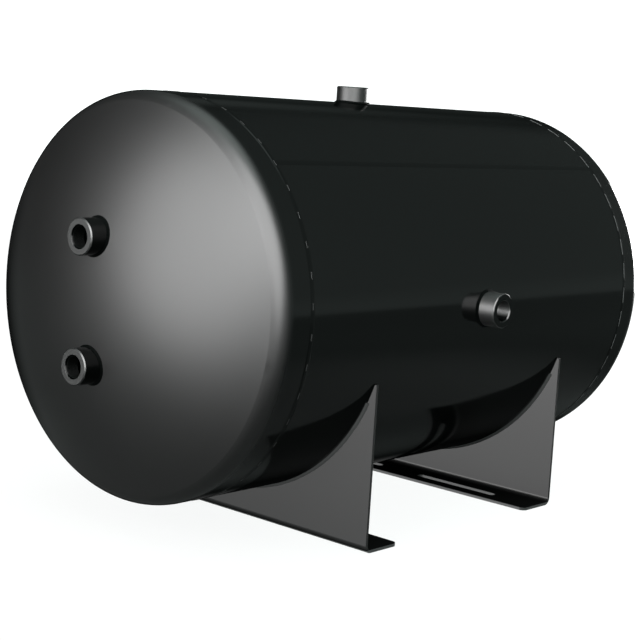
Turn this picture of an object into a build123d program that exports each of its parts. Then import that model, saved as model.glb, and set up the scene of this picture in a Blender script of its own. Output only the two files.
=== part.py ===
from build123d import *
from math import asin, cos, pi, radians, sin, sqrt, tan
import os

# Horizontal pressure tank: a rolled shell with a dished head at each end, four tapped half
# couplings and two bent-plate saddles. Millimetres, X across, Y along the tank, Z up.
# The origin lies on the floor, in the middle of the four anchor slots.

# Vessel
tank_diameter = 610.0
wall = 4.8
shell_length = 815.0
front_skirt = 40.0
rear_skirt = 31.0
crown_radius = 610.0
knuckle_radius = 30.0
floor_clearance = 48.0

# Butt welds of the shell and the heads
root_gap = 1.6
root_face = 1.5
bevel_angle = 30.0
cap_overlap = 1.6
cap_height = 0.5
long_seam_angle = 45.0

# Half couplings
coupling_diameter = 54.0
coupling_bore = 32.6
coupling_chamfer = 1.6
port_clearance = 0.8
head_coupling_pitch = 186.0
head_coupling_rise = 29.5
top_coupling_rise = 26.5
side_coupling_rise = 31.0
coupling_weld_leg = 3.0
coupling_weld_toe = 0.6

# Saddles
saddle_span = 486.0
saddle_width = 582.0
saddle_plate = 4.8
foot_length = 76.0
bend_radius = 12.0
horn_tip_radius = 1.8
foot_corner_radius = 10.0
slot_length = 167.0
slot_width = 14.0
slot_pitch = 250.0
slot_setback = 44.0
saddle_weld_leg = 4.0
saddle_weld_crown = 0.5
saddle_weld_start = 25.0

# Values that follow from the sizes above
tank_radius = tank_diameter / 2
axis_height = tank_radius + floor_clearance
inner_radius = tank_radius - wall
seam_y = shell_length / 2
plate_end = seam_y - root_gap / 2
bevel = (wall - root_face) * tan(radians(bevel_angle))
groove_half = root_gap / 2 + bevel
cap_half = groove_half + cap_overlap
front_tangent = -seam_y - front_skirt
rear_tangent = seam_y + rear_skirt
break_angle = asin((tank_radius - knuckle_radius) / (crown_radius - knuckle_radius))
crown_setback = (crown_radius - knuckle_radius) * cos(break_angle)
coupling_radius = coupling_diameter / 2
port_radius = coupling_bore / 2 + port_clearance
weld_ring_radius = coupling_radius + coupling_weld_leg
saddle_face = saddle_span / 2
quarter_turn = pi / 2

# The turn of the ball that a crown is cut from, which keeps its own poles off the head
ball_turn = (20, 0, 30)

# The tank's axis, and the half plane at nine o'clock that its profiles are drawn in
tank_axis = Axis((0, 0, axis_height), (0, 1, 0))
profile_plane = Plane(origin=(0, 0, axis_height), x_dir=(0, 1, 0), z_dir=(0, 0, 1))

# The section of the long seam at the front end of the plate, with the radius upwards
seam_turn = radians(long_seam_angle)
seam_plane = Plane(
    origin=(0, -plate_end, axis_height),
    x_dir=(-sin(seam_turn), 0, cos(seam_turn)),
    z_dir=(0, 1, 0),
)

os.makedirs("parts", exist_ok=True)


def keep(builder, name):
    """Label a finished piece and write it to its own file."""
    builder.part.label = name
    export_step(builder.part, "parts/" + name + ".step")


def on_arc(outward, center, radius, angle):
    """A point of the profile, on an arc that starts along the tank's axis."""
    return (center[0] + outward * radius * cos(angle), center[1] + radius * sin(angle))


def crown_line(outward, tangent_y, grow):
    """The crown arc of a dished head, from its pole to its knuckle; gives the pole."""
    center = (tangent_y - outward * crown_setback, 0)
    radius = crown_radius + grow
    pole = on_arc(outward, center, radius, 0)
    middle = on_arc(outward, center, radius, break_angle / 2)
    ThreePointArc(pole, middle, on_arc(outward, center, radius, break_angle))
    return pole


def knuckle_line(outward, tangent_y, grow):
    """The knuckle arc of a dished head, from its crown to its tangent line; gives its ends."""
    center = (tangent_y, tank_radius - knuckle_radius)
    radius = knuckle_radius + grow
    crown_end = on_arc(outward, center, radius, break_angle)
    middle = on_arc(outward, center, radius, (break_angle + quarter_turn) / 2)
    tangent = on_arc(outward, center, radius, quarter_turn)
    ThreePointArc(crown_end, middle, tangent)
    return crown_end, tangent


def vessel_form(grow):
    """The filled outer form of the vessel, grown all round by a distance."""
    with BuildPart() as form:
        with BuildSketch(profile_plane):
            with BuildLine():
                front_pole = crown_line(-1, front_tangent, grow)
                front_ends = knuckle_line(-1, front_tangent, grow)
                rear_pole = crown_line(1, rear_tangent, grow)
                rear_ends = knuckle_line(1, rear_tangent, grow)
                Line(front_ends[1], rear_ends[1])
                Line(rear_pole, front_pole)
            make_face()
        revolve(axis=tank_axis)
    return form.part


def dished_head(outward, tangent_y):
    """A dished head: a crown cut from a sphere, a turned knuckle and a skirt bevelled for its weld."""
    edge_y = outward * (seam_y + root_gap / 2)
    center_y = tangent_y - outward * crown_setback
    near_y = center_y + outward * crown_radius / 2
    far_y = center_y + outward * crown_radius * 2
    with BuildPart() as head:
        with BuildSketch(profile_plane):
            with BuildLine():
                Polyline(
                    (near_y, 0),
                    (far_y, 0),
                    (far_y, abs(far_y - center_y) * tan(break_angle)),
                    (near_y, abs(near_y - center_y) * tan(break_angle)),
                    close=True,
                )
            make_face()
        revolve(axis=tank_axis)
        with Locations((0, center_y, axis_height)):
            Sphere(crown_radius, rotation=ball_turn, mode=Mode.INTERSECT)
            Sphere(crown_radius - wall, rotation=ball_turn, mode=Mode.SUBTRACT)
        with BuildSketch(profile_plane):
            with BuildLine():
                outer_crown, outer_edge = knuckle_line(outward, tangent_y, 0)
                inner_crown, inner_edge = knuckle_line(outward, tangent_y, -wall)
                Line(outer_crown, inner_crown)
                Polyline(
                    outer_edge,
                    (edge_y + outward * bevel, tank_radius),
                    (edge_y, inner_radius + root_face),
                    (edge_y, inner_radius),
                    inner_edge,
                )
            make_face()
        revolve(axis=tank_axis)
    return head.part


def girth_weld(center_y):
    """A butt weld round the tank: the filled groove and its low cap, dressed flat on top."""
    with BuildPart() as weld:
        with BuildSketch(profile_plane):
            with BuildLine():
                Polyline(
                    (center_y + cap_half, tank_radius),
                    (center_y + groove_half, tank_radius),
                    (center_y + root_gap / 2, inner_radius + root_face),
                    (center_y + root_gap / 2, inner_radius),
                    (center_y - root_gap / 2, inner_radius),
                    (center_y - root_gap / 2, inner_radius + root_face),
                    (center_y - groove_half, tank_radius),
                    (center_y - cap_half, tank_radius),
                    (center_y - cap_half / 2, tank_radius + cap_height),
                    (center_y + cap_half / 2, tank_radius + cap_height),
                    close=True,
                )
            make_face()
        revolve(axis=tank_axis)
    return weld


def on_shell(across):
    """A point on the shell's outside, at a distance across the long seam."""
    return (across, sqrt(tank_radius**2 - across**2))


def seam_bar():
    """The weld of the rolled shell's long seam, straight along the whole plate."""
    shell_side = (groove_half + cap_half) / 2
    with BuildPart() as bar:
        with BuildSketch(seam_plane):
            with BuildLine():
                Polyline(
                    on_shell(groove_half),
                    (root_gap / 2, inner_radius + root_face),
                    (root_gap / 2, inner_radius),
                    (-root_gap / 2, inner_radius),
                    (-root_gap / 2, inner_radius + root_face),
                    on_shell(-groove_half),
                )
                ThreePointArc(on_shell(-groove_half), on_shell(-shell_side), on_shell(-cap_half))
                ThreePointArc(on_shell(-cap_half), (0, tank_radius + cap_height), on_shell(cap_half))
                ThreePointArc(on_shell(cap_half), on_shell(shell_side), on_shell(groove_half))
            make_face()
        extrude(amount=2 * plate_end)
    return bar.part


outer_form = vessel_form(0)
weld_form = vessel_form(coupling_weld_leg)

# The couplings' end faces: plane, with its normal the way a pipe leaves
head_rise_y = front_tangent + crown_setback - sqrt(crown_radius**2 - (head_coupling_pitch / 2) ** 2)
head_plane_y = head_rise_y - head_coupling_rise
ports = {
    "upper_head": Plane(
        origin=(0, head_plane_y, axis_height + head_coupling_pitch / 2),
        x_dir=(1, 0, 0),
        z_dir=(0, -1, 0),
    ),
    "lower_head": Plane(
        origin=(0, head_plane_y, axis_height - head_coupling_pitch / 2),
        x_dir=(1, 0, 0),
        z_dir=(0, -1, 0),
    ),
    "top": Plane(
        origin=(0, 0, axis_height + tank_radius + top_coupling_rise), x_dir=(1, 0, 0), z_dir=(0, 0, 1)
    ),
    "side": Plane(
        origin=(tank_radius + side_coupling_rise, 0, axis_height), x_dir=(0, 1, 0), z_dir=(1, 0, 0)
    ),
}
port_depth = max(head_coupling_rise, top_coupling_rise, side_coupling_rise) + coupling_diameter

# Girth welds
front_girth_weld = girth_weld(-seam_y)
keep(front_girth_weld, "front_girth_weld")
rear_girth_weld = girth_weld(seam_y)
keep(rear_girth_weld, "rear_girth_weld")

# Long seam, between the two girth welds
long_bar = seam_bar()
with BuildPart() as long_seam_weld:
    add(long_bar)
    add(front_girth_weld.part, mode=Mode.SUBTRACT)
    add(rear_girth_weld.part, mode=Mode.SUBTRACT)
keep(long_seam_weld, "long_seam_weld")

# Shell: a rolled plate with bevelled ends, its long seam groove and two ports.
# The groove's bevels run on past the plate's outside by their own length.
groove_reach = 2 * on_shell(groove_half)[0] - root_gap / 2
groove_top = 2 * on_shell(groove_half)[1] - inner_radius - root_face
with BuildPart() as shell:
    with BuildSketch(profile_plane):
        with BuildLine():
            Polyline(
                (-plate_end, inner_radius),
                (plate_end, inner_radius),
                (plate_end, inner_radius + root_face),
                (plate_end - bevel, tank_radius),
                (bevel - plate_end, tank_radius),
                (-plate_end, inner_radius + root_face),
                close=True,
            )
        make_face()
    revolve(axis=tank_axis)
    with BuildSketch(seam_plane):
        with BuildLine():
            Polyline(
                (groove_reach, groove_top),
                (root_gap / 2, inner_radius + root_face),
                (root_gap / 2, inner_radius - wall),
                (-root_gap / 2, inner_radius - wall),
                (-root_gap / 2, inner_radius + root_face),
                (-groove_reach, groove_top),
                close=True,
            )
        make_face()
    extrude(amount=2 * plate_end, mode=Mode.SUBTRACT)
    with BuildSketch(ports["top"], ports["side"]):
        Circle(port_radius)
    extrude(amount=-port_depth, mode=Mode.SUBTRACT)
keep(shell, "shell")

# Heads: the front one carries two couplings on its upright centre line
front_blank = dished_head(-1, front_tangent)
with BuildPart() as front_head:
    add(front_blank)
    with BuildSketch(ports["upper_head"], ports["lower_head"]):
        Circle(port_radius)
    extrude(amount=-port_depth, mode=Mode.SUBTRACT)
keep(front_head, "front_head")

rear_blank = dished_head(1, rear_tangent)
with BuildPart() as rear_head:
    add(rear_blank)
keep(rear_head, "rear_head")

# Half couplings, coped to the vessel, each in a fillet weld that follows the surface
for port_name, face_plane in ports.items():
    with BuildPart() as coupling:
        with BuildSketch(face_plane):
            Circle(coupling_radius)
            Circle(coupling_bore / 2, mode=Mode.SUBTRACT)
        extrude(amount=-port_depth)
        outer_face = coupling.faces().sort_by(Axis(face_plane.origin, face_plane.z_dir))[-1]
        chamfer(outer_face.edges(), length=coupling_chamfer)
        add(outer_form, mode=Mode.SUBTRACT)
    keep(coupling, port_name + "_coupling")

    with BuildPart() as ring:
        with BuildSketch(face_plane):
            Circle(weld_ring_radius)
            Circle(coupling_radius, mode=Mode.SUBTRACT)
        extrude(amount=-port_depth)
        add(weld_form, mode=Mode.INTERSECT)
        add(outer_form, mode=Mode.SUBTRACT)
        outer_edges = ring.edges().sort_by(SortBy.LENGTH)[-2:]
        toe_edge = outer_edges.sort_by(Axis(face_plane.origin, face_plane.z_dir))[-1]
        chamfer(toe_edge, length=coupling_weld_leg - coupling_weld_toe)
    keep(ring, port_name + "_coupling_weld")

# Saddles: one bent plate each, the web coped to the shell and the foot turned inwards
with BuildPart() as front_saddle:
    with BuildSketch(Plane(origin=(0, -saddle_face, 0), x_dir=(0, 1, 0), z_dir=(1, 0, 0))) as section:
        Rectangle(saddle_plate, axis_height, align=(Align.MIN, Align.MIN))
        Rectangle(foot_length, saddle_plate, align=(Align.MIN, Align.MIN))
        fillet(section.vertices().sort_by_distance((0, 0))[0], bend_radius)
        inner_corner = section.vertices().sort_by_distance((saddle_plate, saddle_plate))[0]
        fillet(inner_corner, bend_radius - saddle_plate)
    extrude(amount=saddle_width / 2, both=True)
    with BuildSketch(Plane(origin=(0, 0, axis_height), x_dir=(1, 0, 0), z_dir=(0, -1, 0))):
        Circle(tank_radius)
    extrude(amount=saddle_face, mode=Mode.SUBTRACT)
    horn_tips = front_saddle.edges().filter_by(Axis.Y).sort_by(Axis.Z)[-2:]
    fillet(horn_tips, horn_tip_radius)
    foot_corners = front_saddle.edges().filter_by(Axis.Z).sort_by(Axis.Y)[-2:]
    fillet(foot_corners, foot_corner_radius)
    with BuildSketch(Plane.XY):
        with Locations((0, slot_setback - saddle_face)):
            with GridLocations(slot_pitch, 0, 2, 1):
                SlotOverall(slot_length, slot_width)
    extrude(amount=saddle_plate, mode=Mode.SUBTRACT)
keep(front_saddle, "front_saddle")

with BuildPart() as rear_saddle:
    mirror(front_saddle.part, about=Plane.XZ)
keep(rear_saddle, "rear_saddle")


def saddle_weld(face_y, away):
    """A fillet weld between the shell and one face of a saddle's web."""
    start = -radians(saddle_weld_start)
    start_plane = Plane(
        origin=(0, 0, axis_height), x_dir=(0, 1, 0), z_dir=(sin(start), 0, -cos(start))
    )
    bulge = saddle_weld_leg / 2 + saddle_weld_crown / sqrt(2)
    with BuildPart() as weld:
        with BuildSketch(start_plane):
            with BuildLine():
                Polyline(
                    (face_y, tank_radius + saddle_weld_leg),
                    (face_y, tank_radius),
                    (face_y + away * saddle_weld_leg, tank_radius),
                    (face_y + away * bulge, tank_radius + bulge),
                    close=True,
                )
            make_face()
        revolve(axis=tank_axis, revolution_arc=180 - 2 * saddle_weld_start)
    return weld


saddle_back = saddle_face - saddle_plate
keep(saddle_weld(-saddle_face, -1), "front_saddle_outer_weld")
keep(saddle_weld(-saddle_back, 1), "front_saddle_inner_weld")
keep(saddle_weld(saddle_face, 1), "rear_saddle_outer_weld")
keep(saddle_weld(saddle_back, -1), "rear_saddle_inner_weld")
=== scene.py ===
from math import cos, pi, radians, sin
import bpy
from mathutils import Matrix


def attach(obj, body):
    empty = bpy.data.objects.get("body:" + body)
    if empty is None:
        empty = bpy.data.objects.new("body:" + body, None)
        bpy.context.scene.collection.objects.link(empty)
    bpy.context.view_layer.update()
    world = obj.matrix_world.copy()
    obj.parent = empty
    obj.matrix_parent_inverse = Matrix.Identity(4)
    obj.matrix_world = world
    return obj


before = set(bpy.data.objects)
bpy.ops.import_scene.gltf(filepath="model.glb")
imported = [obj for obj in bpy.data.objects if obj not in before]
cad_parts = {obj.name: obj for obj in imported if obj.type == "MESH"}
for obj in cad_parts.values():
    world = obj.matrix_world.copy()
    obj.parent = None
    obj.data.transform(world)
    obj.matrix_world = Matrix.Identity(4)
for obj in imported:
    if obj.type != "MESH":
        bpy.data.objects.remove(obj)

from types import SimpleNamespace

import bpy
from mathutils import Matrix, Vector

# A horizontal pressure tank in black enamel, in a plain studio. Metres, in the tank's own frame:
# X across, Y from the front head to the rear head, Z up from the floor.


def clear_defaults():
    """Take out what a new file holds besides the tank."""
    for name in ("Cube", "Light", "Camera"):
        extra = bpy.data.objects.get(name)
        if extra:
            bpy.data.objects.remove(extra)
    bpy.ops.object.select_all(action="DESELECT")


clear_defaults()
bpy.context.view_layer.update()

# The vessel
AXIS_HEIGHT = 0.353
SHELL_RADIUS = 0.305
SEAM_Y = 0.4075

# The weld stitches round each girth seam
STITCH_COUNT = 45
STITCH_PITCH = radians(360 / STITCH_COUNT)
STITCH_WIDTH = 0.0018
STITCH_HEIGHT = 0.0009
STITCH_SIDES = 10
STITCH_STEPS = 6

# The couplings: where each end face is, the turn that points a thread into the tank, and the axis
PORTS = {
    "upper_head": SimpleNamespace(face=(0, -0.5692, 0.446), turn=(radians(-90), 0, 0), axis=1),
    "lower_head": SimpleNamespace(face=(0, -0.5692, 0.26), turn=(radians(-90), 0, 0), axis=1),
    "top": SimpleNamespace(face=(0, 0, 0.6845), turn=(radians(180), 0, 0), axis=2),
    "side": SimpleNamespace(face=(0.336, 0, 0.353), turn=(0, radians(-90), 0), axis=0),
}
BORE_RADIUS = 0.0163

# The pipe threads: a triangle of unit radius, sized to the thread's pitch and depth
THREAD_PITCH = 0.0022
THREAD_TURNS = 9
THREAD_STEPS = 48
THREAD_SETBACK = 0.0022
THREAD_CREST = 0.0155
THREAD_ROOT = 0.0168
TRIANGLE_HEIGHT = 1.5
TRIANGLE_SIDE = 1.7321

# The enamel's colours
BLACK = (0.0035, 0.0046, 0.0043)
SADDLE_BLACK = (0.012, 0.012, 0.012)
# A lighter grey for worn cut edges, which is also painted light on the saddle's slot walls
WORN_AND_PAINTED_LIGHT_GREY = (0.13, 0.13, 0.13, 1)
# A light grey on the saddle welds that paints the sheen of the lit webs onto them
SADDLE_WELD_SHEEN_GREY = (0.15, 0.15, 0.15)
# Greys that paint glints on the weld stitches; the rear seam's are a lighter, lit copy
FRONT_STITCH_GLINT_GREY = (0.08, 0.08, 0.08)
REAR_STITCH_GLINT_GREY = (0.3, 0.3, 0.3)

# Its roughness where it is gloss, satin and dull, its sheen, and how far its tone and gloss drift
GLOSS = 0.10
SATIN = 0.41
DULL = 0.6
ENAMEL_SHEEN = 0.44
HEAD_COUPLING_SHEEN = 0.12
TONE_DRIFT = 0.15
GLOSS_DRIFT = 0.06
CLOUD_SCALE = 7
PEEL_SCALE = 330
PEEL_HEIGHT = 0.000004

# Where the gloss starts to fade as the surface turns edge on, where it is least, and the share lost
FADE_START = 0.70
FADE_END = 0.86
FADE_SHARE = 0.95

# The refraction of the satin coat
HEAD_COAT = 1.36
SADDLE_COAT = 1.64
SIDE_THREAD_COAT = 1.5
COUPLING_COAT = {"upper_head": 1.82, "lower_head": 1.76, "top": 1.36, "side": 1.6}

# Where the satin begins and ends: lengths along a head, depths behind a coupling's end face,
# distances out from its bore, and heights in the side coupling's bore and on a saddle
CROWN_EDGE = (0.442, 0.458)
FACE_EDGE = (0.0012, 0.0024)
BARREL_EDGE = (0.0004, 0.0012)
HEAD_BORE_EDGE = (0.0012, 0.0018)
SIDE_BORE_EDGE = (0.0004, 0.001)
LIT_BORE_EDGE = (AXIS_HEIGHT - 0.012, AXIS_HEIGHT - 0.002)
FOOT_TOP = 0.0048
# Below the top of a foot the saddle turns a lighter grey: partly wear on cut edges, partly painted
# light on the slot walls
WORN_AND_PAINTED_LIGHT_EDGE = (FOOT_TOP - 0.0004, FOOT_TOP - 0.0001)
WEB_EDGE = (FOOT_TOP + 0.0006, FOOT_TOP + 0.0027)

# Weld ripples: how many round the tank, per metre in radians, round a coupling, and their shape
RING_RIPPLES = 95
LONG_RIPPLES = 1900
PORT_RIPPLES = 34
BEAD_RIPPLE = SimpleNamespace(grain=60, wander=3, height=0.00003)
PORT_RIPPLE = SimpleNamespace(grain=90, wander=2, height=0.00006)

# The floor, and the distances between which it fades out
FLOOR_RADIUS = 1.2
FLOOR_SIDES = 128
FLOOR_COLOUR = (0.88, 0.88, 0.88, 1)
FLOOR_ROUGHNESS = 0.9
FLOOR_MIDDLE = (0, 0.1, 0)
FLOOR_FADE = (0.45, 0.95)
FLOOR_CLEARNESS = 0.83

# The room's tint, and the ways to its dim corner and to the white backdrop behind the tank
ROOM_TINT = (0.86, 1.0, 0.96, 1)
BACKDROP_WHITE = (1, 1, 1, 1)
CORNER_WAY = Vector((0.52, 0.80, -0.30))
BACKDROP_WAY = Vector((-0.663, 0.749, 0.0))

# The camera, solved from the photograph's outline
CAMERA_AZIMUTH = radians(41.52)
CAMERA_ELEVATION = radians(5.57)
CAMERA_ROLL = radians(3.667)
CAMERA_DISTANCE = 2.547
CAMERA_TARGET = Vector((0.0, -0.0567, 0.4078))
FOCAL_PIXELS = 1536.2
IMAGE_PIXELS = 640
AXIS_ROW = 252.65
SENSOR_MM = 36.0


class Shade:
    """A shader socket with arithmetic, in one node tree."""

    def __init__(self, tree, socket):
        self.tree = tree
        self.socket = socket

    def node(self, kind, settings=None, inputs=None, output=0):
        """Add a node: its settings first, then its sockets' values or links."""
        made = self.tree.nodes.new(kind)
        for key, value in (settings or {}).items():
            setattr(made, key, value)
        for key, value in (inputs or {}).items():
            if isinstance(value, Shade):
                self.tree.links.new(value.socket, made.inputs[key])
            else:
                made.inputs[key].default_value = value
        if isinstance(output, tuple):
            return [Shade(self.tree, made.outputs[key]) for key in output]
        return Shade(self.tree, made.outputs[output])

    def math(self, operation, other=0.0):
        return self.node("ShaderNodeMath", {"operation": operation}, {0: self, 1: other})

    def ramp(self, low, high, at_low=0.0, at_high=1.0):
        """A soft step from one value to another, as this value goes from low to high."""
        spread = {
            "Value": self,
            "From Min": low,
            "From Max": high,
            "To Min": at_low,
            "To Max": at_high,
        }
        return self.node("ShaderNodeMapRange", {"interpolation_type": "SMOOTHSTEP"}, spread)

    def noise(self, scale, detail=2.0):
        """Soft noise round a half, on this vector."""
        inputs = {"Vector": self, "Scale": scale, "Detail": detail}
        return self.node("ShaderNodeTexNoise", {}, inputs)

    def along(self, way):
        """How far this vector goes along a fixed way."""
        inputs = {0: self, 1: way}
        return self.node("ShaderNodeVectorMath", {"operation": "DOT_PRODUCT"}, inputs, "Value")

    def parts(self):
        """This vector's X, Y and Z."""
        return self.node("ShaderNodeSeparateXYZ", {}, {0: self}, ("X", "Y", "Z"))

    def blend(self, first, second):
        """A colour that goes from the first to the second as this value goes from 0 to 1."""
        inputs = {"Factor": self, "A": first, "B": second}
        return self.node("ShaderNodeMix", {"data_type": "RGBA"}, inputs, 2)

    def __add__(self, other):
        return self.math("ADD", other)

    __radd__ = __add__

    def __mul__(self, other):
        return self.math("MULTIPLY", other)

    __rmul__ = __mul__

    def __sub__(self, other):
        return self.math("SUBTRACT", other)

    def __rsub__(self, other):
        return self.node("ShaderNodeMath", {"operation": "SUBTRACT"}, {0: other, 1: self})

    def __pow__(self, other):
        return self.math("POWER", other)


def connect(value, shader, socket):
    """Link a value to one of a shader's sockets."""
    value.tree.links.new(value.socket, shader.inputs[socket])


def new_material(name):
    """A node material, with its Principled shader and its Object coordinates."""
    material = bpy.data.materials.new(name)
    material.use_nodes = True
    tree = material.node_tree
    place = Shade(tree, tree.nodes.new("ShaderNodeTexCoord").outputs["Object"])
    return SimpleNamespace(material=material, shader=tree.nodes["Principled BSDF"], place=place)


def enamel(name, colour, sheen, relief=None):
    """Enamel: a colour that clouds a little, and a faint orange peel."""
    paint = new_material(name)
    paint.cloud = paint.place.noise(CLOUD_SCALE, detail=3)
    deep = [channel * (1 - TONE_DRIFT) for channel in colour] + [1]
    light = [channel * (1 + TONE_DRIFT) for channel in colour] + [1]
    paint.colour = paint.cloud.blend(deep, light)
    connect(paint.colour, paint.shader, "Base Color")
    paint.shader.inputs["Specular IOR Level"].default_value = sheen
    height = paint.place.noise(PEEL_SCALE, detail=1) * PEEL_HEIGHT
    if relief:
        height = height + relief(paint.place)
    bump = height.node("ShaderNodeBump", {}, {"Height": height, "Distance": 1.0, "Strength": 1.0})
    connect(bump, paint.shader, "Normal")
    return paint


def set_roughness(paint, roughness):
    """A roughness that drifts a little over the surface."""
    drifting = paint.cloud * GLOSS_DRIFT + (roughness - GLOSS_DRIFT / 2)
    connect(drifting, paint.shader, "Roughness")


def add_satin(paint, cover, index):
    """A satin top coat where it covers, and a mirror gloss elsewhere."""
    set_roughness(paint, cover * (SATIN - GLOSS) + GLOSS)
    connect(cover, paint.shader, "Coat Weight")
    paint.shader.inputs["Coat Roughness"].default_value = SATIN
    paint.shader.inputs["Coat IOR"].default_value = index


def fade_edge_on(paint):
    """Let the gloss die away where the enamel is seen edge on."""
    place = paint.place
    facing = place.node("ShaderNodeLayerWeight", {}, {"Blend": 0.5}, "Facing")
    lost = facing.ramp(FADE_START, FADE_END, at_high=FADE_SHARE)
    gloss = Shade(place.tree, paint.shader.outputs[0])
    flat = {"Base Color": (*BLACK, 1), "Roughness": DULL, "Specular IOR Level": 0.0}
    dull = place.node("ShaderNodeBsdfPrincipled", {}, flat)
    faded = place.node("ShaderNodeMixShader", {}, {0: lost, 1: gloss, 2: dull})
    connect(faded, place.tree.nodes["Material Output"], "Surface")


def plain_enamel(name, colour, roughness, sheen, relief=None):
    """Enamel with about the same gloss all over."""
    paint = enamel(name, colour, sheen, relief)
    set_roughness(paint, roughness)
    return paint.material


def gloss_enamel(name, roughness, sheen, relief=None):
    """Gloss enamel on rolled plate, or over a weld bead's ripples."""
    paint = enamel(name, BLACK, sheen, relief)
    set_roughness(paint, roughness)
    fade_edge_on(paint)
    return paint.material


def head_enamel():
    """Satin enamel on a pressed crown, which turns as glossy as the shell on the rolled skirt."""
    paint = enamel("head_satin_enamel", BLACK, ENAMEL_SHEEN)
    length = paint.place.parts()[1].math("ABSOLUTE")
    add_satin(paint, length.ramp(*CROWN_EDGE), HEAD_COAT)
    fade_edge_on(paint)
    return paint.material


def across_port(parts, port):
    """The two distances from a coupling's centre line, across its axis."""
    return [parts[k] - port.face[k] for k in range(3) if k != port.axis]


def past_bore(parts, port):
    """How far out from a coupling's bore."""
    first, second = across_port(parts, port)
    return (first ** 2 + second ** 2) ** 0.5 - BORE_RADIUS


def coupling_enamel(name):
    """Satin enamel on a coupling: on a head, only on its end face, and elsewhere, all but that."""
    port = PORTS[name]
    end = port.face[port.axis]
    on_head = name.endswith("head")
    sheen = HEAD_COUPLING_SHEEN if on_head else ENAMEL_SHEEN
    paint = enamel(name + "_coupling_enamel", BLACK, sheen)
    parts = paint.place.parts()
    if on_head:
        cover = (parts[port.axis] - end).ramp(*FACE_EDGE, at_low=1.0, at_high=0.0)
        cover = cover * past_bore(parts, port).ramp(*HEAD_BORE_EDGE)
    else:
        cover = (end - parts[port.axis]).ramp(*BARREL_EDGE)
    if name == "side":
        outside = past_bore(parts, port).ramp(*SIDE_BORE_EDGE)
        lit = parts[2].ramp(*LIT_BORE_EDGE)
        cover = cover * (outside + lit).math("MINIMUM", 1.0)
    add_satin(paint, cover, COUPLING_COAT[name])
    return paint.material


def side_thread_enamel():
    """Satin enamel in the upper part of the side coupling's bore."""
    paint = enamel("side_thread_enamel", BLACK, sheen=0.0)
    add_satin(paint, paint.place.parts()[2].ramp(*LIT_BORE_EDGE), SIDE_THREAD_COAT)
    return paint.material


def saddle_enamel():
    """Satin enamel on bent plate: flat on top of the feet, and a lighter grey on their cut edges and
    slot walls, partly wear and partly painted light that brightens the slots.
    """
    paint = enamel("saddle_satin_enamel", SADDLE_BLACK, sheen=0.0)
    height = paint.place.parts()[2]
    worn_and_painted_light = height.ramp(*WORN_AND_PAINTED_LIGHT_EDGE, at_low=1.0, at_high=0.0)
    add_satin(paint, worn_and_painted_light + height.ramp(*WEB_EDGE), SADDLE_COAT)
    # The lighter grey on cut edges and slot walls is partly wear and partly painted light
    connect(worn_and_painted_light.blend(paint.colour, WORN_AND_PAINTED_LIGHT_GREY), paint.shader, "Base Color")
    return paint.material


def ripples(place, run, shape):
    """Weld ripples that follow each other along a run, and wander a little."""
    wave = (run + place.noise(shape.grain) * shape.wander).math("SINE")
    return wave * shape.height


def ring_ripples(place):
    """Weld ripples round the tank's own axis."""
    parts = place.parts()
    turn = (parts[2] - AXIS_HEIGHT).math("ARCTAN2", parts[0])
    return ripples(place, turn * RING_RIPPLES, BEAD_RIPPLE)


def long_ripples(place):
    """Weld ripples along the shell's straight seam."""
    return ripples(place, place.parts()[1] * LONG_RIPPLES, BEAD_RIPPLE)


def port_ripples(port):
    """Weld ripples round one coupling."""

    def relief(place):
        first, second = across_port(place.parts(), port)
        return ripples(place, second.math("ARCTAN2", first) * PORT_RIPPLES, PORT_RIPPLE)

    return relief


def select_only(piece):
    """Select one piece and make it the active one."""
    bpy.ops.object.select_all(action="DESELECT")
    piece.select_set(True)
    bpy.context.view_layer.objects.active = piece


def finish_piece(piece, name, material):
    """Put a new piece's place into its mesh, paint it and fix it to the tank."""
    bpy.ops.object.transform_apply(location=True, rotation=True, scale=True)
    piece.name = name
    piece.data.materials.clear()
    piece.data.materials.append(material)
    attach(piece, "root")


def wind_thread():
    """One V tooth, wound into a helix."""
    upright = (radians(90), radians(-90), 0)
    bpy.ops.mesh.primitive_circle_add(vertices=3, radius=1, rotation=upright)
    bpy.ops.object.transform_apply(rotation=True)
    bpy.ops.object.mode_set(mode="EDIT")
    bpy.ops.mesh.select_all(action="SELECT")
    tall = (THREAD_ROOT - THREAD_CREST) / TRIANGLE_HEIGHT
    wide = THREAD_PITCH / TRIANGLE_SIDE
    bpy.ops.transform.resize(value=(tall, 1, wide), center_override=(0, 0, 0))
    bpy.ops.transform.translate(value=(THREAD_CREST + tall, 0, 0))
    bpy.ops.object.mode_set(mode="OBJECT")
    thread = bpy.context.object
    wind = thread.modifiers.new("wind", "SCREW")
    wind.axis = "Z"
    wind.screw_offset = THREAD_PITCH
    wind.iterations = THREAD_TURNS
    wind.steps = THREAD_STEPS
    wind.render_steps = THREAD_STEPS
    bpy.ops.object.modifier_apply(modifier="wind")
    bpy.ops.object.mode_set(mode="EDIT")
    bpy.ops.mesh.select_all(action="SELECT")
    bpy.ops.mesh.remove_doubles(threshold=1e-6)
    bpy.ops.mesh.fill_holes(sides=4)
    bpy.ops.mesh.normals_make_consistent(inside=False)
    bpy.ops.object.mode_set(mode="OBJECT")
    bpy.ops.object.shade_smooth_by_angle(angle=radians(35))
    return thread


def coupling_threads(dark, bright):
    """The pipe thread in each coupling: one helix, copied and turned into each bore."""
    thread = wind_thread()
    copies = [thread]
    while len(copies) < len(PORTS):
        select_only(thread)
        bpy.ops.object.duplicate(linked=False)
        copies.append(bpy.context.object)
    for piece, (name, port) in zip(copies, PORTS.items()):
        select_only(piece)
        piece.rotation_euler = port.turn
        inward = piece.rotation_euler.to_matrix() @ Vector((0, 0, THREAD_SETBACK))
        piece.location = Vector(port.face) + inward
        material = bright if name == "side" else dark
        finish_piece(piece, name + "_thread", material)


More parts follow.
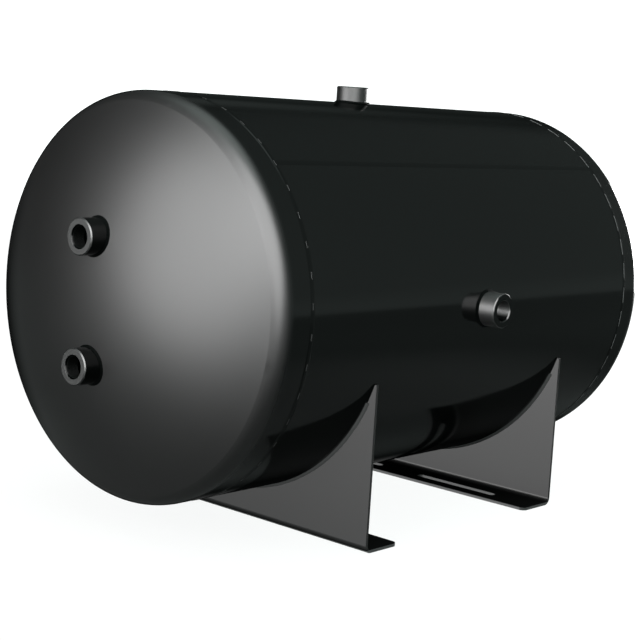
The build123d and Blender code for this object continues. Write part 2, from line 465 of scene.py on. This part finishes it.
def seam_stitches(name, seam_y, length, phase, material):
    """A run of short proud weld stitches round a girth seam, under the paint, in a grey material
    that paints their glints.
    """
    bpy.ops.object.select_all(action="DESELECT")
    start = (SHELL_RADIUS, seam_y, AXIS_HEIGHT)
    bpy.ops.mesh.primitive_circle_add(
        vertices=STITCH_SIDES, radius=1, fill_type="NGON", location=start
    )
    piece = bpy.context.object
    bpy.ops.object.mode_set(mode="EDIT")
    bpy.ops.mesh.select_all(action="SELECT")
    bpy.ops.transform.resize(value=(STITCH_HEIGHT, STITCH_WIDTH / 2, 1))
    center = (0, seam_y, AXIS_HEIGHT)
    bpy.ops.transform.rotate(value=phase - length / 2, orient_axis="Y", center_override=center)
    bpy.ops.mesh.spin(steps=STITCH_STEPS, angle=length, center=center, axis=(0, 1, 0))
    bpy.ops.mesh.select_all(action="SELECT")
    bpy.ops.mesh.normals_make_consistent(inside=False)
    for stitch in range(1, STITCH_COUNT):
        bpy.ops.mesh.duplicate()
        bpy.ops.transform.rotate(value=STITCH_PITCH, orient_axis="Y", center_override=center)
    bpy.ops.object.mode_set(mode="OBJECT")
    rounding = piece.modifiers.new("rounding", "SUBSURF")
    rounding.levels = 1
    rounding.render_levels = 1
    bpy.ops.object.modifier_apply(modifier="rounding")
    bpy.ops.object.shade_smooth()
    finish_piece(piece, name, material)


def add_floor():
    """A pale round floor that fades out into the studio."""
    bpy.ops.mesh.primitive_circle_add(vertices=FLOOR_SIDES, radius=FLOOR_RADIUS, fill_type="NGON")
    floor = bpy.context.object
    floor.name = "floor"
    paint = new_material("pale_floor")
    paint.shader.inputs["Base Color"].default_value = FLOOR_COLOUR
    paint.shader.inputs["Roughness"].default_value = FLOOR_ROUGHNESS
    paint.shader.inputs["Specular IOR Level"].default_value = 0.0
    place = paint.place
    ends = {0: place, 1: FLOOR_MIDDLE}
    distance = place.node("ShaderNodeVectorMath", {"operation": "DISTANCE"}, ends, "Value")
    clearness = distance.ramp(*FLOOR_FADE, at_low=FLOOR_CLEARNESS)
    solid = Shade(place.tree, paint.shader.outputs[0])
    clear = place.node("ShaderNodeBsdfTransparent")
    faded = place.node("ShaderNodeMixShader", {}, {0: clearness, 1: solid, 2: clear})
    connect(faded, place.tree.nodes["Material Output"], "Surface")
    floor.data.materials.append(paint.material)


def add_lamp(name, lit, azimuth, elevation, level, spread):
    """A broad soft lamp, far off in one direction, that lights some of the pieces."""
    bpy.ops.object.light_add(type="SUN")
    lamp = bpy.context.object
    lamp.name = name
    around = radians(azimuth)
    up = radians(elevation)
    way = Vector((sin(around) * cos(up), -cos(around) * cos(up), sin(up)))
    lamp.rotation_euler = way.to_track_quat("Z", "Y").to_euler()
    lamp.data.energy = level * pi
    lamp.data.angle = radians(spread)
    group = bpy.data.collections.new(name + "_lights")
    for piece in lit:
        group.objects.link(piece)
    lamp.light_linking.receiver_collection = group
    return lamp


def no_shadows(lamp):
    """Let a lamp shine past the pieces in its way."""
    lamp.data.use_shadow = False
    lamp.data.cycles.use_multiple_importance_sampling = False


def add_lamps():
    """A front and a rear lamp, a fill on the saddles, and three sheens that only gloss shows."""
    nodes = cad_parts
    everything = [piece for piece in bpy.data.objects if piece.type == "MESH"]
    shell = [nodes["shell"]]
    saddles = [nodes["front_saddle"], nodes["rear_saddle"]]
    seams = [nodes[name] for name in ("front_girth_weld", "rear_girth_weld", "long_seam_weld")]
    satin = [node for name, node in nodes.items() if name.endswith(("head", "coupling"))]
    satin.append(bpy.data.objects["side_thread"])
    not_rear = seams + shell + [nodes["front_head"], bpy.data.objects["rear_seam_stitches"]]
    front_lit = [piece for piece in everything if piece not in saddles + satin + seams]
    rear_lit = [piece for piece in everything if piece not in not_rear]

    add_lamp("front_lamp", front_lit, azimuth=-6.6, elevation=12.9, level=0.9, spread=56)
    add_lamp("rear_lamp", rear_lit, azimuth=180, elevation=6, level=1.0, spread=24)
    saddle_lamp = add_lamp(
        "saddle_lamp", saddles, azimuth=-30, elevation=0, level=0.36, spread=20
    )
    front_sheen = add_lamp(
        "front_sheen", satin, azimuth=-9.5, elevation=12, level=1.55, spread=56
    )
    side_sheen = add_lamp(
        "side_sheen", satin, azimuth=49.8, elevation=31.8, level=2.8, spread=74
    )
    shell_sheen = add_lamp(
        "shell_sheen", shell, azimuth=49.8, elevation=31.8, level=1.2, spread=74
    )
    for fill in (saddle_lamp, front_sheen):
        no_shadows(fill)
    for sheen in (front_sheen, side_sheen, shell_sheen):
        sheen.visible_diffuse = False


def room_level(way):
    """How bright the room is in each direction: dim, with the lifts that the enamel mirrors."""
    x, y, z = way.parts()
    side = way.node("ShaderNodeMapRange", {}, {"Value": x, "From Min": -0.66, "From Max": 0.64})
    steepness = z.math("ARCTAN2", x * -1.0).math("ABSOLUTE")
    rear_lift = steepness.ramp(0.3, 0.76, at_low=0.38, at_high=0.0) * y.ramp(0.5, 0.62)
    overhead = z.ramp(0.78, 0.95, at_low=0.006, at_high=0.9)
    horizon_lift = z.ramp(-0.03, 0.06, at_low=1.2, at_high=1.0)
    rear_fall = y.ramp(0.55, 0.9, at_low=1.25, at_high=0.78)
    above = (side * 0.27 + rear_lift + overhead) * horizon_lift * rear_fall

    dimness = z.ramp(-0.5, -0.25, at_low=0.45, at_high=0.74)
    dimness = dimness * y.ramp(0.6, 0.9, at_low=1.1, at_high=0.8)
    corner = way.along(CORNER_WAY).ramp(0.6, 0.85, at_low=1.0, at_high=dimness)
    far_side = x.ramp(-0.9, -0.45, at_low=0.35, at_high=1.0)
    below = z.ramp(-0.6, -0.4, at_low=0.06, at_high=0.18) * corner * far_side

    upper = z.ramp(-0.085, -0.073)
    return above * upper + below * (1 - upper)


def backdrop_level(way):
    """A white backdrop behind the tank, from the floor to just above the horizon."""
    height = way.parts()[2]
    across = way.along(BACKDROP_WAY).ramp(0.875, 0.93)
    top = height.ramp(0.085, 0.105, at_low=1.0, at_high=0.0)
    foot = height.ramp(-0.55, -0.42)
    return across * top * foot


def add_world():
    """A dim room and a white backdrop."""
    world = bpy.data.worlds.new("studio")
    bpy.context.scene.world = world
    world.use_nodes = True
    tree = world.node_tree
    way = Shade(tree, tree.nodes.new("ShaderNodeTexCoord").outputs["Generated"])
    room_light = {"Color": ROOM_TINT, "Strength": room_level(way)}
    backdrop_light = {"Color": BACKDROP_WHITE, "Strength": backdrop_level(way)}
    room = way.node("ShaderNodeBackground", {}, room_light)
    backdrop = way.node("ShaderNodeBackground", {}, backdrop_light)
    both = way.node("ShaderNodeAddShader", {}, {0: room, 1: backdrop})
    connect(both, tree.nodes["World Output"], "Surface")


def add_camera():
    """The photograph's view, with its vertical shift."""
    back = Vector((
        sin(CAMERA_AZIMUTH) * cos(CAMERA_ELEVATION),
        -cos(CAMERA_AZIMUTH) * cos(CAMERA_ELEVATION),
        sin(CAMERA_ELEVATION),
    ))
    level = Vector((cos(CAMERA_AZIMUTH), sin(CAMERA_AZIMUTH), 0.0))
    upright = back.cross(level)
    right = level * cos(CAMERA_ROLL) + upright * sin(CAMERA_ROLL)
    up = upright * cos(CAMERA_ROLL) - level * sin(CAMERA_ROLL)
    bpy.ops.object.camera_add()
    camera = bpy.context.object
    camera.name = "photo_camera"
    turn = Matrix((right, up, back)).transposed().to_4x4()
    camera.matrix_world = Matrix.Translation(CAMERA_TARGET + back * CAMERA_DISTANCE) @ turn
    camera.data.sensor_width = SENSOR_MM
    camera.data.lens = FOCAL_PIXELS / IMAGE_PIXELS * SENSOR_MM
    camera.data.shift_y = (AXIS_ROW - IMAGE_PIXELS / 2) / IMAGE_PIXELS
    bpy.context.scene.camera = camera


# Finishes. The rolled shell takes a mirror gloss; pressed heads and cut plate stay satin.
shell_gloss = gloss_enamel("shell_gloss_enamel", GLOSS, ENAMEL_SHEEN)
head_satin = head_enamel()
saddle_satin = saddle_enamel()
girth_weld_paint = gloss_enamel(
    "girth_weld_enamel", roughness=0.22, sheen=0.3, relief=ring_ripples
)
long_weld_paint = gloss_enamel("long_weld_enamel", roughness=0.2, sheen=0.3, relief=long_ripples)
# The saddle welds' grey is a painted sheen, as light as the lit webs
saddle_weld_painted_sheen = plain_enamel(
    "saddle_weld_painted_sheen_enamel", SADDLE_WELD_SHEEN_GREY, roughness=0.5, sheen=0.2, relief=ring_ripples
)
# The stitch greys are painted glints, lighter on the rear seam
front_stitch_painted_glint = plain_enamel(
    "front_stitch_painted_glint_enamel", FRONT_STITCH_GLINT_GREY, roughness=0.5, sheen=0.3
)
rear_stitch_painted_glint = plain_enamel(
    "rear_stitch_painted_glint_enamel", REAR_STITCH_GLINT_GREY, roughness=0.5, sheen=0.3
)
thread_paint = plain_enamel("thread_enamel", BLACK, roughness=0.5, sheen=0.15)

finishes = {
    "shell": shell_gloss,
    "front_head": head_satin,
    "rear_head": head_satin,
    "front_girth_weld": girth_weld_paint,
    "rear_girth_weld": girth_weld_paint,
    "long_seam_weld": long_weld_paint,
    "front_saddle": saddle_satin,
    "rear_saddle": saddle_satin,
}
for end in ("front", "rear"):
    for face in ("outer", "inner"):
        finishes[end + "_saddle_" + face + "_weld"] = saddle_weld_painted_sheen
for name, port in PORTS.items():
    finishes[name + "_coupling"] = coupling_enamel(name)
    finishes[name + "_coupling_weld"] = plain_enamel(
        name + "_weld_enamel", BLACK, roughness=0.45, sheen=0.05, relief=port_ripples(port)
    )
for name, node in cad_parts.items():
    node.data.materials.clear()
    node.data.materials.append(finishes[name])

coupling_threads(thread_paint, side_thread_enamel())
seam_stitches(
    "front_seam_stitches", -SEAM_Y, radians(2.0), radians(4.8), front_stitch_painted_glint
)
seam_stitches("rear_seam_stitches", SEAM_Y, radians(5.6), 0.0, rear_stitch_painted_glint)

add_floor()
add_lamps()
add_world()
add_camera()
bpy.context.scene.view_settings.view_transform = "Standard"
